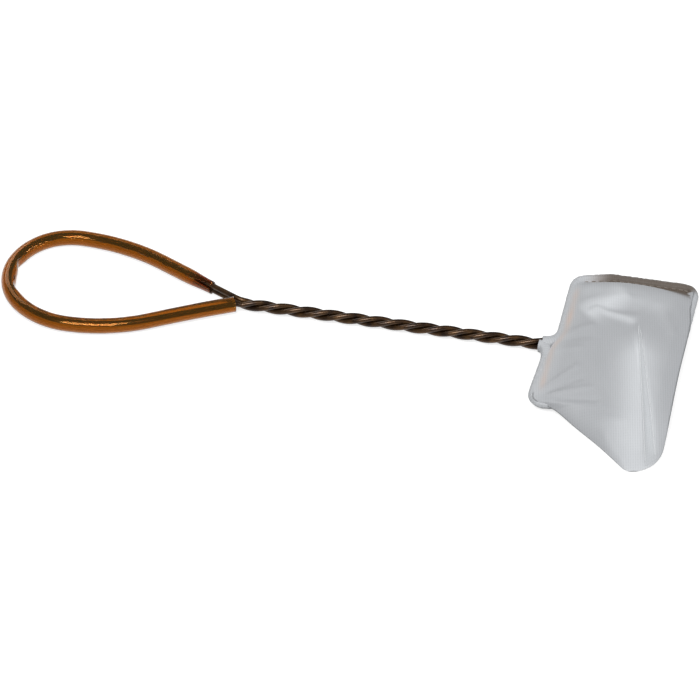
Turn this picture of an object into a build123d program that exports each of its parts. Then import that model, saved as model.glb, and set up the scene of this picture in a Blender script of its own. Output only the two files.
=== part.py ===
"""Aquarium fish net: one bent wire, a vinyl sleeve on its handle loop and a sewn mesh bag.

The net lies on a flat surface, mouth down, with the bag fallen over the near side of the hoop.
X runs along the stem from the handle to the hoop, Y across the net and Z up. While it is drawn,
X and Y are zero where the stem meets the hoop. At the end all pieces move so that the origin is
the middle of the bottom of the overall box.
"""

from build123d import *
import os
from math import cos, pi, radians, sin, sqrt, tan

# Wire and twisted stem, in millimetres and degrees
WIRE_DIAMETER = 2.2
STRAND_GAP = 0.1
TWIST_LENGTH = 118.5
WHOLE_TURNS = 4
PART_TURN = 60.0
CUT_END_STUB = 3.5

# Handle loop, measured on the middle line of the wire
LOOP_LENGTH = 96.0
LOOP_WIDTH = 50.2
NEAR_END_LENGTH = 28.5
FAR_END_LENGTH = 24.5
FORK_LENGTH = 3.6
FORK_ANGLE = 25.0
FORK_CLEARANCE = 0.4
NEAR_FORK_RISE = 1.2

# Vinyl sleeve on the handle loop, slit where it takes two wires
SLEEVE_EASE = 0.15
SLEEVE_WALL = 0.7
SLEEVE_SETBACK = 12.0
TAIL_TUCK = 9.0
SLIT_LENGTH = 11.0
SLIT_WIDTH = 2.2
SLIT_TILT = 45.0

# Hoop, measured on the middle line of the wire
HOOP_LENGTH = 52.3
FAR_REACH = 43.4
NEAR_REACH = 33.5
NEAR_LEG_OFFSET = 5.2
FAR_LEG_SETBACK = 3.7
FAR_BEND_RUN = 13.6
FAR_BEND_DROP = 3.9
FAR_BEND_RADIUS = 18.0
FAR_LEG_START = 10.0
NEAR_LEG_START = 6.5

# Cloth casing folded round the hoop wire, and the row of stitches that closes it
CASING_EASE = 0.1
CASING_CLOTH = 0.4
CASING_INNER_CORNER = 1.3
RAW_EDGE = 0.4
THREAD = 0.3
STITCH_ROOM = 0.35
STITCH_LENGTH = 1.5
STITCH_PITCH = 3.0

# Bag, which rises from its seat on the casing, passes over the near side and lies on the table
BAG_CLOTH = 0.8
FAR_FOOT_RISE = 2.2
FAR_WALL_DEPTH = 4.0
FAR_WALL_INSET = 5.4
FAR_WALL_CROWN = 8.0
CROWN_DEPTH = 14.0
BAG_CROWN = 9.2
NEAR_CROWN = 8.0
FLAP_CROWN = 4.2
TOE_CROWN = 2.2
SILL_SHARE = 0.25
FAR_OVERHANG = 0.8
NEAR_OVERHANG = 4.6
FLAP_OVERHANG = 5.6
CASING_CLEARANCE = 0.15
SHOULDER_WIDTH = 5.5
SHOULDER_SHARE = 0.33
FLAP_START = 9.3
FLAP_MIDDLE = 15.0
TOE_REACH = 28.6
TOE_WIDTH = 4.0
TOE_INSET = 5.0
TOE_CORNER_OVERHANG = 1.3

# Seam strip along the upper side of the bag
SEAM_WIDTH = 4.0
SEAM_CLOTH = 0.5
SEAM_FAR_INSET = 21.5
SEAM_NEAR_INSET = 4.6

# How finely the wire's gap to itself is measured, and how far along the wire counts as one bend
GAP_SAMPLE = 0.5
ONE_BEND = 9.0

# Sizes that follow from those above
wire_radius = WIRE_DIAMETER / 2
strand_spacing = WIRE_DIAMETER + STRAND_GAP
turns = WHOLE_TURNS + PART_TURN / 360
turn_per_mm = 2 * pi * turns / TWIST_LENGTH
flat_twist_radius = strand_spacing / sqrt(3)
twist_radius = flat_twist_radius * sqrt(1 + (turn_per_mm * flat_twist_radius) ** 2)
sleeve_bore_radius = WIRE_DIAMETER + STRAND_GAP / 2 + SLEEVE_EASE
sleeve_radius = sleeve_bore_radius + SLEEVE_WALL
casing_bore_radius = wire_radius + CASING_EASE
casing_radius = casing_bore_radius + CASING_CLOTH
stitch_inset = casing_radius + STITCH_ROOM + THREAD / 2
bag_seat = stitch_inset + THREAD / 2 + STITCH_ROOM
casing_depth = bag_seat + BAG_CLOTH + RAW_EDGE
hoop_corner_radius = casing_depth + CASING_INNER_CORNER

# Heights above the table
axis_height = sleeve_radius
low_height = axis_height - strand_spacing / 2
high_height = axis_height + strand_spacing / 2
hoop_height = axis_height
casing_seat_height = hoop_height + CASING_CLOTH
over_casing = hoop_height + casing_radius + CASING_CLEARANCE

# Places along the net
twist_end_x = 0.0
twist_start_x = twist_end_x - TWIST_LENGTH
fork_x = twist_start_x - FORK_LENGTH
loop_end_x = twist_start_x - LOOP_LENGTH
near_wide_x = loop_end_x + NEAR_END_LENGTH
far_wide_x = loop_end_x + FAR_END_LENGTH
near_leg_x = twist_end_x + NEAR_LEG_OFFSET
far_leg_x = near_leg_x + FAR_LEG_SETBACK
far_bend_x = far_leg_x + FAR_BEND_RUN
hoop_right_x = near_leg_x + HOOP_LENGTH
far_corner_y = FAR_REACH - FAR_BEND_DROP

# At the fork the sleeve on the near leg clears the wires of the far leg
fork_turn = radians(FORK_ANGLE)
near_fork_offset = twist_radius + FORK_LENGTH * tan(fork_turn / 2)
fork_room = wire_radius + FORK_CLEARANCE + sleeve_radius * cos(2 * fork_turn)
far_fork_offset = fork_room / cos(fork_turn) - near_fork_offset

UP = Vector(0, 0, 1)
ACROSS = Vector(0, 1, 0)
TO_HOOP = Vector(1, 0, 0)

# Where the tail, the far leg and the near leg lie in the twist at the throat, in degrees
THROAT_PHASES = (-90.0, 30.0, 150.0)


def arc_or_line(start, way, end):
    """An arc that leaves start along way, or a straight line where the arc would be flat."""
    if way.cross((end - start).normalized()).length < 1e-6:
        return Edge.make_line(start, end)
    return Edge.make_tangent_arc(start, way, end)


def tangent_arcs(start, start_way, end, end_way):
    """Two arcs that leave start along start_way, meet smoothly and reach end along end_way."""
    span = end - start
    along = span.dot(start_way + end_way)
    spread = 2 * (1 - start_way.dot(end_way))
    if spread < 1e-9:
        reach = span.dot(span) / (2 * along)
    else:
        reach = (sqrt(along**2 + spread * span.dot(span)) - along) / spread
    first = start + start_way * reach
    second = end - end_way * reach
    middle = (first + second) / 2
    middle_way = (second - first).normalized()
    return [arc_or_line(start, start_way, middle), arc_or_line(middle, middle_way, end)]


def arcs_through(points):
    """Tangent arcs through a list of points, each with its direction."""
    arcs = []
    for (start, start_way), (end, end_way) in zip(points, points[1:]):
        arcs += tangent_arcs(start, start_way, end, end_way)
    return arcs


def backwards(edges):
    """The same edges, followed from the other end."""
    return [edge.reversed() for edge in reversed(edges)]


def tube(path, radius):
    """A solid round bar along a path."""
    section = Plane(origin=path @ 0, z_dir=path % 0) * Circle(radius)
    return sweep(section, path=path)


def strand_at(strand, x):
    """Where a strand of the left-handed twist is at x, and its direction towards the hoop."""
    phase = radians(THROAT_PHASES[strand]) - turn_per_mm * (x - twist_start_x)
    slope = turn_per_mm * twist_radius
    point = Vector(x, twist_radius * cos(phase), axis_height + twist_radius * sin(phase))
    return point, Vector(1, slope * sin(phase), -slope * cos(phase)).normalized()


def from_twist(strand):
    """Where a strand leaves the twist at the throat, and its direction towards the handle."""
    point, way = strand_at(strand, twist_start_x)
    return point, -way


def strand_arcs(strand):
    """Arcs of a quarter turn each, from the throat to the hoop."""
    quarters = round(4 * turns)
    stations = [twist_start_x + TWIST_LENGTH * i / quarters for i in range(quarters + 1)]
    return arcs_through([strand_at(strand, x) for x in stations])


def loop_points(far_height, near_height):
    """Fork, widest and end points of the handle loop, with the way the wire goes at each."""
    half_width = LOOP_WIDTH / 2
    outwards = Vector(-cos(fork_turn), sin(fork_turn), 0)
    inwards = Vector(cos(fork_turn), sin(fork_turn), 0)
    return [
        (Vector(fork_x, far_fork_offset, far_height), outwards),
        (Vector(far_wide_x, half_width, far_height), -TO_HOOP),
        (Vector(loop_end_x, 0, (far_height + near_height) / 2), -ACROSS),
        (Vector(near_wide_x, -half_width, near_height), TO_HOOP),
        (Vector(fork_x, -near_fork_offset, axis_height + NEAR_FORK_RISE), inwards),
    ]


# Middle lines that more than one piece follows
sleeve_line = Wire(arcs_through(loop_points(axis_height, axis_height)))
hoop_corners = [
    (far_leg_x, FAR_LEG_START, hoop_height),
    (far_leg_x, far_corner_y, hoop_height),
    (far_bend_x, FAR_REACH, hoop_height),
    (hoop_right_x, FAR_REACH, hoop_height),
    (hoop_right_x, -NEAR_REACH, hoop_height),
    (near_leg_x, -NEAR_REACH, hoop_height),
    (near_leg_x, -NEAR_LEG_START, hoop_height),
]
hoop_radii = [hoop_corner_radius, FAR_BEND_RADIUS] + [hoop_corner_radius] * 3
hoop_line = FilletPolyline(*hoop_corners, radius=hoop_radii)
far_leg_bend = arcs_through([strand_at(1, twist_end_x), (hoop_line @ 0, ACROSS)])
near_leg_bend = arcs_through([strand_at(0, twist_end_x), (hoop_line @ 1, -ACROSS)])


def wire_route():
    """The whole frame: tail, stem, hoop, stem, handle loop, stem and cut end, in one line."""
    loop = loop_points(high_height, high_height)
    low_leg = Wire(arcs_through(loop_points(low_height, low_height)[:2]))
    tail = low_leg.trim(0, (SLEEVE_SETBACK + TAIL_TUCK) / low_leg.length)
    cut_end, cut_way = strand_at(2, twist_end_x)
    route = backwards(tail.edges())
    route += backwards(arcs_through([from_twist(0), (tail @ 0, tail % 0)]))
    route += strand_arcs(0)
    route += near_leg_bend
    route += backwards(hoop_line.edges())
    route += backwards(far_leg_bend)
    route += backwards(strand_arcs(1))
    route += arcs_through([from_twist(1), loop[0]])
    route += arcs_through(loop)
    route += arcs_through([loop[-1], strand_at(2, twist_start_x)])
    route += strand_arcs(2)
    route += [Edge.make_line(cut_end, cut_end + cut_way * CUT_END_STUB)]
    return Wire(route)


def least_gap(route):
    """The least distance between surfaces of the wire, on points one sample apart along it."""
    count = round(route.length / GAP_SAMPLE)
    points = [route.position_at(i / count) for i in range(count + 1)]
    apart = round(ONE_BEND / GAP_SAMPLE)
    least = route.length
    for i, point in enumerate(points):
        for other in points[i + apart:]:
            if abs(point.X - other.X) < WIRE_DIAMETER + least:
                least = min(least, (point - other).length - WIRE_DIAMETER)
    return least


def frame_wire():
    """The wire as one round bar, with its volume and its least gap to itself printed."""
    route = wire_route()
    bar = tube(route, wire_radius)
    print("frame wire length", round(route.length, 1))
    print("frame wire volume", round(bar.volume, 2))
    print("volume from its length", round(pi * wire_radius**2 * route.length, 2))
    print("least gap between strands", round(least_gap(route), 3))
    return bar


def handle_sleeve():
    """A vinyl tube round the handle loop, slit at the end that takes two wires."""
    covered = sleeve_line.trim(SLEEVE_SETBACK / sleeve_line.length, 1)
    sleeve = tube(covered, sleeve_radius) - tube(covered, sleeve_bore_radius)
    end = Plane(origin=covered @ 0, x_dir=covered % 0, z_dir=UP).rotated((SLIT_TILT, 0, 0))
    slit = Polygon((0, -SLIT_WIDTH / 2), (SLIT_LENGTH, 0), (0, SLIT_WIDTH / 2), align=None)
    return sleeve - extrude(end * slit, amount=2 * sleeve_radius)


def bag_casing():
    """Cloth folded double round the hoop wire, with its raw edges sewn together inside the hoop."""
    fold = Circle(casing_radius) - Circle(casing_bore_radius)
    raw_edges = Pos(casing_depth / 2, 0) * Rectangle(casing_depth, 2 * CASING_CLOTH)
    start = Plane(origin=hoop_line @ 0, x_dir=TO_HOOP, z_dir=ACROSS)
    casing = sweep(start * (fold + raw_edges - Circle(casing_bore_radius)), path=Wire(hoop_line.edges()))
    for bend in (far_leg_bend[1], near_leg_bend[1]):
        section = Plane(origin=bend @ 1, z_dir=-(bend % 1)) * fold
        casing += sweep(section, path=Wire([bend.reversed()]))
    return casing


# Cuts across the bag from its far wall to its toe. Each is the place along Y, the left edge, the foot
# of the right side, the right edge that overhangs it, and the heights of floor, sill and crown.
seat_left = far_leg_x + bag_seat
seat_right = hoop_right_x - bag_seat
seat_far = FAR_REACH - bag_seat
near_seat_left = near_leg_x + bag_seat
near_wall = casing_depth - NEAR_REACH
near_edge = -NEAR_REACH - casing_radius
flap_left = near_leg_x + FLAP_START
flap_right = seat_right + FLAP_OVERHANG
toe_right = hoop_right_x - TOE_INSET
toe_left = toe_right - TOE_WIDTH
toe_y = -NEAR_REACH - TOE_REACH
flap_middle_y = -NEAR_REACH - FLAP_MIDDLE
flap_slope = (toe_left - flap_left) / (near_edge - toe_y)
toe_corner_y = (flap_middle_y + toe_y) / 2
toe_corner_crown = (FLAP_CROWN + TOE_CROWN) / 2


def mouth_cut(y, left, foot, overhang, crown):
    """A cut where the bag stands on the casing."""
    return (y, left, foot, foot + overhang, casing_seat_height, over_casing, crown)


def flap_cut(y, left, foot, right, floor, crown):
    """A cut where the bag has passed over the near side and has a floor of its own."""
    return (y, left, foot, right, floor, floor + (crown - floor) * SILL_SHARE, crown)


mouth_cuts = [
    mouth_cut(seat_far, far_bend_x + bag_seat / 2, seat_right - CASING_INNER_CORNER - bag_seat, FAR_OVERHANG,
              casing_seat_height + FAR_FOOT_RISE),
    mouth_cut(seat_far - FAR_WALL_DEPTH / 2, seat_left + FAR_WALL_INSET, seat_right, FAR_OVERHANG,
              (casing_seat_height + FAR_FOOT_RISE + FAR_WALL_CROWN) / 2),
    mouth_cut(seat_far - FAR_WALL_DEPTH, seat_left + FAR_OVERHANG, seat_right, FAR_OVERHANG, FAR_WALL_CROWN),
    mouth_cut(seat_far - CROWN_DEPTH, seat_left, seat_right, FAR_OVERHANG, BAG_CROWN),
    mouth_cut(FAR_LEG_START, seat_left, seat_right, NEAR_OVERHANG, BAG_CROWN),
    mouth_cut(-NEAR_LEG_START, near_seat_left, seat_right, NEAR_OVERHANG, BAG_CROWN),
    mouth_cut(near_wall, near_seat_left + CASING_INNER_CORNER, seat_right, NEAR_OVERHANG, NEAR_CROWN),
]
flap_cuts = [
    flap_cut(near_wall - bag_seat, flap_left, seat_right, flap_right, over_casing, NEAR_CROWN),
    flap_cut(near_edge, flap_left, seat_right, flap_right, over_casing, NEAR_CROWN),
    flap_cut(near_edge - casing_radius, flap_left + flap_slope * casing_radius, seat_right, flap_right, 0,
             NEAR_CROWN),
    flap_cut(flap_middle_y, flap_left + flap_slope * (near_edge - flap_middle_y), seat_right, flap_right, 0,
             FLAP_CROWN),
    flap_cut(toe_corner_y, flap_left + flap_slope * (near_edge - toe_corner_y), toe_right,
             hoop_right_x + TOE_CORNER_OVERHANG, 0, toe_corner_crown),
    flap_cut(toe_y, toe_left, toe_right - TOE_WIDTH * SILL_SHARE, toe_right, 0, TOE_CROWN),
]


def bag_section(y, left, foot, right, floor, sill, crown):
    """The outline of one cut: flat floor, overhang on the right, rounded shoulders and flat crown."""
    shoulder = min(SHOULDER_WIDTH, (right - left) * SHOULDER_SHARE)
    left_shoulder = Vector(left + shoulder, y, crown)
    right_shoulder = Vector(right - shoulder, y, crown)
    corners = [(right, sill), (foot, sill), (foot, floor), (left, floor), (left, sill)]
    points = [Vector(x, y, z) for x, z in corners]
    outline = [Edge.make_line(start, end) for start, end in zip(points, points[1:])]
    outline.append(Edge.make_tangent_arc(left_shoulder, -TO_HOOP, points[-1]))
    outline.append(Edge.make_line(left_shoulder, right_shoulder))
    outline.append(Edge.make_tangent_arc(right_shoulder, TO_HOOP, points[0]))
    return make_face(outline)


def bag_body():
    """The pouch of cloth, open below inside the hoop and closed where it lies on the table."""
    below = -BAG_CLOTH
    mouth = []
    for y, left, foot, right, _, sill, crown in mouth_cuts:
        mouth.append((y, left + BAG_CLOTH, foot - BAG_CLOTH, right - BAG_CLOTH, below, sill + BAG_CLOTH,
                      crown - BAG_CLOTH))
    far_hollow = FAR_FOOT_RISE - BAG_CLOTH
    mouth[0] = (seat_far - BAG_CLOTH, *mouth[0][1:5], casing_seat_height + far_hollow / 2,
                casing_seat_height + far_hollow)
    flap = []
    for y, left, foot, right, floor, _, crown in [mouth_cuts[-1]] + flap_cuts:
        flap.append(flap_cut(y, left + BAG_CLOTH, foot - BAG_CLOTH, right - BAG_CLOTH, floor + BAG_CLOTH,
                             crown - BAG_CLOTH))
    flap[-1] = (toe_y + 2 * BAG_CLOTH, *flap[-1][1:])
    pouch = loft([bag_section(*cut) for cut in mouth_cuts + flap_cuts], ruled=True)
    pouch -= loft([bag_section(*cut) for cut in mouth], ruled=True)
    return pouch - loft([bag_section(*cut) for cut in flap], ruled=True)


# Middle line of the seam strip, on the crown of the bag
seam_cuts = mouth_cuts[2:] + flap_cuts[:4]
seam_far_y = seam_cuts[0][0]
seam_near_y = seam_cuts[-1][0]
seam_far_x = hoop_right_x - SEAM_FAR_INSET
seam_near_x = hoop_right_x - SEAM_NEAR_INSET
seam_points = []
for cut in seam_cuts:
    share = (seam_far_y - cut[0]) / (seam_far_y - seam_near_y)
    seam_points.append(Vector(seam_far_x + share * (seam_near_x - seam_far_x), cut[0], cut[-1]))


def bag_seam():
    """The doubled strip of cloth where the bag's two edges are joined."""
    strip = Pos(0, SEAM_CLOTH / 2) * Rectangle(SEAM_WIDTH, SEAM_CLOTH)
    cuts = [Plane(origin=point, x_dir=TO_HOOP, z_dir=-ACROSS) * strip for point in seam_points]
    return loft(cuts, ruled=True)


def stitch(point, way, upwards):
    """One stitch of thread lying on the cloth."""
    seat = Plane(origin=point, x_dir=way, z_dir=upwards)
    return seat * Pos(0, 0, THREAD / 2) * Box(STITCH_LENGTH, THREAD, THREAD)


def stitch_places(length):
    """How far along a line of this length each stitch sits, a pitch apart and in the middle."""
    count = int(length / STITCH_PITCH)
    spare = length - count * STITCH_PITCH
    return [(spare + STITCH_PITCH) / 2 + i * STITCH_PITCH for i in range(count)]


def casing_stitches():
    """The row that closes the casing, between the fold round the wire and the seat of the bag."""
    row = []
    lift = UP * (casing_seat_height - hoop_height)
    for place in stitch_places(hoop_line.length):
        share = place / hoop_line.length
        way = hoop_line % share
        row.append(stitch(hoop_line @ share + way.cross(UP) * stitch_inset + lift, way, UP))
    return Compound(row)


def seam_stitches():
    """The row along the middle of the seam strip."""
    row = []
    for start, end in zip(seam_points, seam_points[1:]):
        way = (end - start).normalized()
        upwards = way.cross(TO_HOOP)
        for place in stitch_places((end - start).length):
            row.append(stitch(start + way * place + UP * SEAM_CLOTH, way, upwards))
    return Compound(row)


if __name__ == "__main__":
    os.makedirs("parts", exist_ok=True)
    pieces = {
        "frame_wire": frame_wire(),
        "handle_sleeve": handle_sleeve(),
        "bag_casing": bag_casing(),
        "bag_body": bag_body(),
        "bag_seam": bag_seam(),
        "casing_stitches": casing_stitches(),
        "seam_stitches": seam_stitches(),
    }
    boxes = [piece.bounding_box() for piece in pieces.values()]
    low = [min(tuple(box.min)[axis] for box in boxes) for axis in range(3)]
    high = [max(tuple(box.max)[axis] for box in boxes) for axis in range(3)]
    to_origin = Pos(-(low[0] + high[0]) / 2, -(low[1] + high[1]) / 2, -low[2])
    print("overall size", [round(top - bottom, 2) for bottom, top in zip(low, high)])
    print("moved by", [round(step, 3) for step in to_origin.position])
    for name, piece in pieces.items():
        print(name, "volume", round(piece.volume, 1), "solids", len(piece.solids()))
        export_step(to_origin * piece, f"parts/{name}.step")
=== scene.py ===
"""Looks of an aquarium fish net: lacquered wire, a vinyl sleeve and a sewn bag of fine mesh."""

from math import cos, exp, pi, radians, sin, tan

import bmesh
import bpy
from bpy.props import FloatProperty, FloatVectorProperty, PointerProperty
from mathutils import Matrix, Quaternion, Vector, noise


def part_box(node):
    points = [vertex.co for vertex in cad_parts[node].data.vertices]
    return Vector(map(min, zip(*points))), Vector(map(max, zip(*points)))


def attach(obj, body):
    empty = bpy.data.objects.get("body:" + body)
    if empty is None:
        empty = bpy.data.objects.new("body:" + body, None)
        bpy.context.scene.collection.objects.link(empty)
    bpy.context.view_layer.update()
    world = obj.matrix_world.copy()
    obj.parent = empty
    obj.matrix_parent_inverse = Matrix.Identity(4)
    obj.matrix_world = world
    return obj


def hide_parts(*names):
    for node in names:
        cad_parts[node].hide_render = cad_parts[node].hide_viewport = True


bl_info = {
    "name": "Fish net looks",
    "version": (1, 0, 0),
    "blender": (4, 2, 0),
    "location": "View3D > Sidebar > Fish net",
    "description": "Dresses the packed fish net with its sleeve, hem, bag and materials",
    "category": "Object",
}

MM = 0.001
UP = Vector((0, 0, 1))
RIGHT = Vector((1, 0, 0))
ACROSS = Vector((0, 1, 0))

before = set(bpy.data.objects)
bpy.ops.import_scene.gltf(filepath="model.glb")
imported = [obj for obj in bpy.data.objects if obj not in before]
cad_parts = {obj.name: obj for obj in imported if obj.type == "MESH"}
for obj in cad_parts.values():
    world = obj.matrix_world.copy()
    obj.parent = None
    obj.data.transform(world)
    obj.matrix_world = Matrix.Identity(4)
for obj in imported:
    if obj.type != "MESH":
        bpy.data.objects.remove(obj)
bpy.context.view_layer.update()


def linear(hex_colour):
    """An sRGB hex colour as the linear RGBA that shaders take."""
    channels = [int(hex_colour[i:i + 2], 16) / 255 for i in (1, 3, 5)]
    return [c / 12.92 if c <= 0.04045 else ((c + 0.055) / 1.055) ** 2.4 for c in channels] + [1.0]


def length_property(name, description, millimetres):
    """A length for the sidebar, given in millimetres and kept in metres."""
    return FloatProperty(
        name=name, description=description, default=millimetres * MM, unit="LENGTH", precision=5
    )


def angle_property(name, description, degrees):
    """An angle for the sidebar, given in degrees and kept in radians."""
    return FloatProperty(name=name, description=description, default=radians(degrees), subtype="ANGLE")


def colour_property(name, description, hex_colour):
    """A colour for the sidebar, given as sRGB hex and kept as linear RGBA."""
    return FloatVectorProperty(
        name=name, description=description, default=linear(hex_colour), subtype="COLOR", size=4
    )


class FishNetSizes(bpy.types.PropertyGroup):
    """Sizes of the sleeve, the hem and the weave."""

    tube_radius: length_property("Tube radius", "Outer radius of the vinyl sleeve", 3.1)
    tube_wall: length_property("Tube wall", "Thickness of the sleeve's wall", 0.7)
    tube_setback: length_property("Tube setback", "From the far fork to the slit end of the sleeve", 12.0)
    slit_length: length_property("Slit length", "Length of the slit in the sleeve", 11.0)
    slit_width: length_property("Slit width", "How far the slit gapes at the end", 2.6)
    slit_angle: angle_property("Slit angle", "Where the slit faces, up from inwards", 38.0)
    hem_tail: length_property("Hem tail", "From the wire to the hem's raw edge", 4.4)
    thread_pitch: length_property("Thread pitch", "Spacing of the drawn warp threads", 0.95)


class FishNetColours(bpy.types.PropertyGroup):
    """Colours of the net and of the paper under it."""

    wire_dark: colour_property("Wire, dark", "Where the lacquer lies thick", "#241406")
    wire_light: colour_property("Wire, light", "Where the lacquer lies thin", "#4e3518")
    amber: colour_property("Sleeve", "What the vinyl lets through", "#e6bd60")
    slit_end_tint: colour_property("Sleeve, stretched", "The vinyl at its slit end", "#b8683c")
    wall_depth: colour_property("Sleeve, depth", "What the vinyl's depth leaves of the light", "#cf9a30")
    glint: colour_property("Sleeve, glint", "Tint of the light on the vinyl", "#ffb060")
    single: colour_property("Mesh, single", "Cloth that lies single", "#999b9e")
    # Folded whitens cloth that lies double, and is also the colour of painted highlights on the bag.
    folded: colour_property("Mesh, folded", "Cloth that lies double", "#c7cacd")
    # Painted shade along the far hem, on the bag's far edge and on the hem's far band.
    painted_shade: colour_property("Mesh, crevice", "Cloth in the crevice along the far hem", "#4f443a")
    bronze: colour_property("Mesh, wire", "Cloth with the wire close under it", "#b8a091")
    seam_thread: colour_property("Seam thread", "Thread along the seam tape", "#cfd1d3")
    hem_thread: colour_property("Hem thread", "Thread of the hem, greyed by the mesh", "#6f665e")
    paper: colour_property("Paper", "The sweep that the net lies on", "#a8a8a8")


class FishNetView(bpy.types.PropertyGroup):
    """Where the photograph was taken from."""

    turn: angle_property("Turn", "Azimuth of the camera", 11.2)
    rise: angle_property("Rise", "Elevation of the camera", 43.5)
    lens: FloatProperty(name="Lens", description="Focal length", default=600.0, unit="CAMERA")
    away: FloatProperty(
        name="Distance", description="Camera to the middle of the picture", default=4.65, unit="LENGTH"
    )
    middle: FloatVectorProperty(
        name="Middle",
        description="Point in the middle of the picture",
        default=(0.0067, -0.00965, 0.0032),
        subtype="TRANSLATION",
    )


def add_node(tree, kind, inputs=None, **settings):
    """Adds a shader node with its settings, and fills or links its inputs."""
    made = tree.nodes.new(kind)
    for name, value in settings.items():
        setattr(made, name, value)
    for name, value in (inputs or {}).items():
        if isinstance(value, bpy.types.NodeSocket):
            tree.links.new(value, made.inputs[name])
        else:
            made.inputs[name].default_value = value
    return made


def new_material(name):
    """An empty node material and its output node."""
    material = bpy.data.materials.new(name)
    material.use_nodes = True
    material.node_tree.nodes.clear()
    return material, material.node_tree.nodes.new("ShaderNodeOutputMaterial")


# Middle line of the hoop and of the handle loop, in millimetres from the end of the stem
HOOP_RIGHT = 57.5
HOOP_FAR = 43.4
HOOP_NEAR = -33.5
FAR_LEG = 8.9
NEAR_LEG = 5.2
WIRE_HEIGHT = 3.1
FAR_FORK = Vector((-122.1, 1.67, 3.1))
NEAR_FORK = Vector((-122.1, -2.18, 4.3))
FAR_WIDEST = Vector((-190.0, 25.1, 3.1))
LOOP_END = Vector((-214.5, 0.0, 3.1))
NEAR_WIDEST = Vector((-186.0, -25.1, 3.1))
FORK_ANGLE = 25
HEM_RADIUS = 1.6
# Flat sizes of the two pieces of mesh before they were sewn, in millimetres
# The bag's cut: a panel over the hoop, each of the flap's two layers at its mean width, a strip at the right
BAG_PANEL = (51.0, 78.0)
BAG_FLAP = (31.0, 40.0)
BAG_STRIP = (4.5, 66.0)
# The end of the stem in the row frame, in metres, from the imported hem's far right corner
HEM_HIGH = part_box("bag_casing")[1]
STEM_END = Vector((
    HEM_HIGH[0] - (HOOP_RIGHT + HEM_RADIUS) * MM,
    HEM_HIGH[1] - (HOOP_FAR + HEM_RADIUS) * MM,
    0.0,
))

# Points in a rounded corner, and limits under which an arc counts as straight
CORNER_POINTS = 8
LEAST_TURN = 1e-6
LEAST_BEND = 1e-9
# Points of a mesh that lie closer than this, in metres, become one
WELD = 0.00002
# What a point of cloth or vinyl carries for its material
TONES = ("double", "dim", "wire")


def at(point):
    """A point given in millimetres from the end of the stem, in the row frame and in metres."""
    return STEM_END + point * MM


def arc(start, way, end, count):
    """Points of the arc that leaves start along way and reaches end, without its first point."""
    chord = end - start
    axis = way.cross(chord)
    half_turn = way.angle(chord)
    if half_turn < LEAST_TURN:
        return [start.lerp(end, i / count) for i in range(1, count + 1)]
    points = []
    for i in range(1, count + 1):
        share = half_turn * i / count
        reach = chord.length * sin(share) / sin(half_turn)
        points.append(start + Quaternion(axis, share) @ way.normalized() * reach)
    return points


def biarc(start, way, end, end_way, count):
    """Points of two arcs that join start to end with the given directions, without the first point."""
    way = way.normalized()
    end_way = end_way.normalized()
    gap = end - start
    both = way + end_way
    bend = 2 * (1 - way.dot(end_way))
    slant = gap.dot(both)
    if bend < LEAST_BEND:
        reach = gap.dot(gap) / (4 * gap.dot(end_way))
    else:
        reach = (-slant + (slant * slant + bend * gap.dot(gap)) ** 0.5) / bend
    joint = (start + way * reach + end - end_way * reach) / 2
    first = arc(start, way, joint, count)
    turned = (joint - (start + way * reach)).normalized()
    return first + arc(joint, turned, end, count)


def rounded(corners, radii, step):
    """Points of a line through the corners, each rounded with its radius, about step apart."""
    line = [corners[0]]
    for before, corner, after, radius in zip(corners, corners[1:], corners[2:], radii):
        back = (before - corner).normalized()
        on = (after - corner).normalized()
        setback = radius / tan(back.angle(on) / 2)
        line.append(corner + back * setback)
        line += arc(corner + back * setback, -back, corner + on * setback, CORNER_POINTS)
    line.append(corners[-1])
    return respaced(line, step)


def respaced(line, step):
    """The line again, with points one even step apart."""
    lengths = [0.0]
    for first, second in zip(line, line[1:]):
        lengths.append(lengths[-1] + (second - first).length)
    count = max(1, round(lengths[-1] / step))
    points = []
    k = 0
    for i in range(count + 1):
        wanted = lengths[-1] * i / count
        while k < len(line) - 2 and lengths[k + 1] < wanted:
            k += 1
        share = (wanted - lengths[k]) / (lengths[k + 1] - lengths[k])
        points.append(line[k].lerp(line[k + 1], share))
    return points


def smooth(low, high, value):
    """Rises smoothly from 0 at low to 1 at high."""
    share = min(1.0, max(0.0, (value - low) / (high - low)))
    return share * share * (3 - 2 * share)


def through(stations, place):
    """The smooth curve through evenly counted stations, each a tuple of numbers, at place from 0 to 1."""
    position = place * (len(stations) - 1)
    k = min(int(position), len(stations) - 2)
    t = position - k
    before = stations[max(k - 1, 0)]
    after = stations[min(k + 2, len(stations) - 1)]
    result = []
    for p0, p1, p2, p3 in zip(before, stations[k], stations[k + 1], after):
        slope_in = (p2 - p0) / 2
        slope_out = (p3 - p1) / 2
        rise = p2 - p1
        result.append(
            p1 + slope_in * t + (3 * rise - 2 * slope_in - slope_out) * t * t
            + (slope_in + slope_out - 2 * rise) * t * t * t
        )
    return result


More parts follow.
